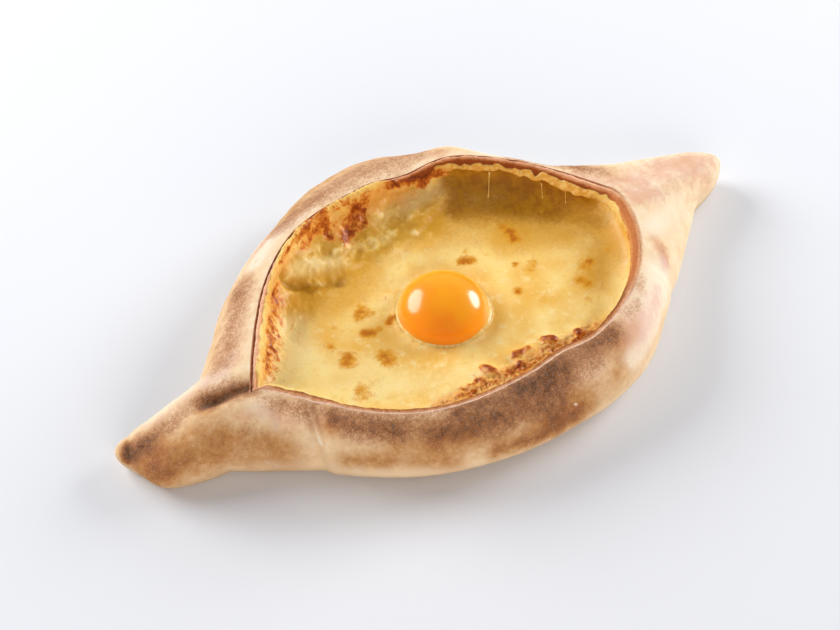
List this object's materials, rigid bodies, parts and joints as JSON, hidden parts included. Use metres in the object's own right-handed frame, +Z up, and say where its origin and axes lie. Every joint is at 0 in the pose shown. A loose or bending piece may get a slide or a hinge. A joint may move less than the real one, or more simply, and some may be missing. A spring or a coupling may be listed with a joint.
{
  "type": "khachapuri",
  "caption": "Boat-shaped baked bread with pinched tips, filled with melted browned cheese and topped with a raw egg yolk.",
  "frame": {"origin": "on the surface that the bread rests on, under the middle of its bounding box", "axes": "+X along the boat from the blunt tip to the pointed tip, +Z up"},
  "size_m": [0.299, 0.1666, 0.0383],
  "materials": {
    "crust": "matt flour-dusted baked crust with toasted brown patches",
    "cheese": "soft sheen of melted cheese with small browned spots",
    "yolk": "wet, glossy and slightly translucent"
  },
  "bodies": {
    "root": {"bread_boat": "crust", "cheese_filling": "cheese", "egg_yolk": "yolk"}
  },
  "joints": []
}
